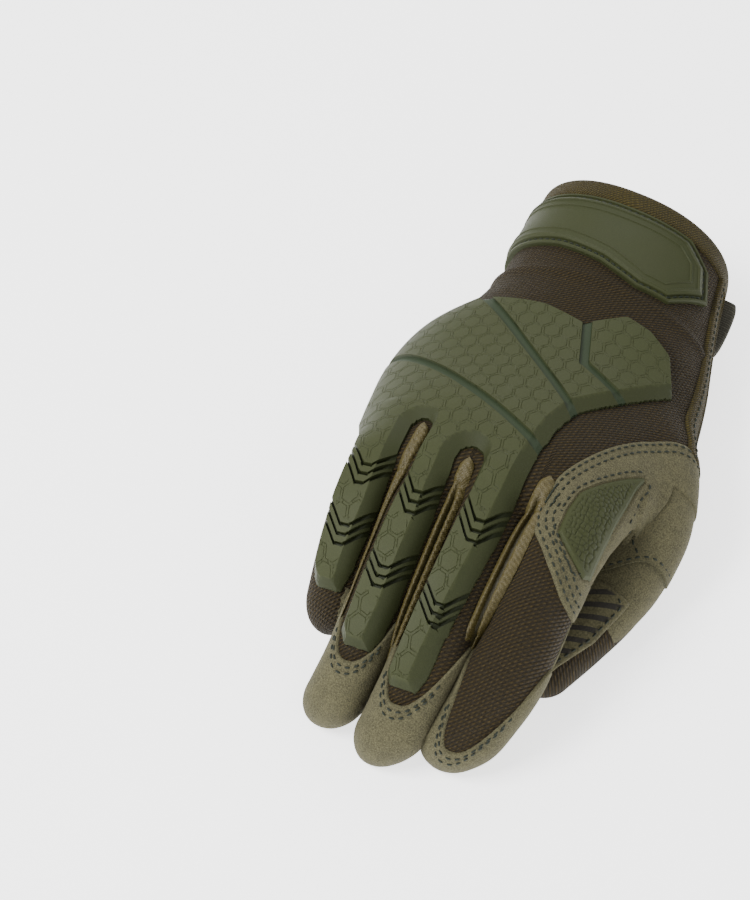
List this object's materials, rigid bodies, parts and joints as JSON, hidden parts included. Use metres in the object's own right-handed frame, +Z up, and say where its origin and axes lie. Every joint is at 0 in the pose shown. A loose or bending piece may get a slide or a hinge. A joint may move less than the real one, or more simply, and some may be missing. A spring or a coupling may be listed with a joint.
{
  "type": "tactical glove",
  "caption": "Right-hand work glove with a moulded knuckle guard, suede palm and fingertips, mesh back and a wrist strap, lying palm down.",
  "frame": {"origin": "centre of the footprint on the surface that the glove rests on", "axes": "+Z up, fingers towards -Y, cuff towards +Y, thumb on the +X side"},
  "size_m": [0.1188, 0.2368, 0.0589],
  "materials": {
    "mesh": "dark brown-olive ribbed knit mesh",
    "suede": "grey-green brushed synthetic suede",
    "rubber": "olive-grey moulded rubber, satin",
    "stretch": "olive stretch cloth with a soft sheen",
    "binding": "olive-brown woven tape",
    "webbing": "grey ribbed webbing"
  },
  "bodies": {
    "root": {"back_panel": "mesh", "palm_panel": "suede", "thumb_suede": "suede", "thumb_mesh": "mesh", "thumb_grip": "suede", "thumb_patch": "suede", "patch_pad": "rubber", "fingertip_ring": "suede", "fingertip_middle": "suede", "fingertip_index": "suede", "gusset_little_ring": "stretch", "gusset_ring_middle": "stretch", "gusset_middle_index": "stretch", "knuckle_guard": "rubber", "wrist_strap": "rubber", "cuff_binding": "binding", "side_binding": "binding", "pull_tab": "webbing"}
  },
  "joints": []
}
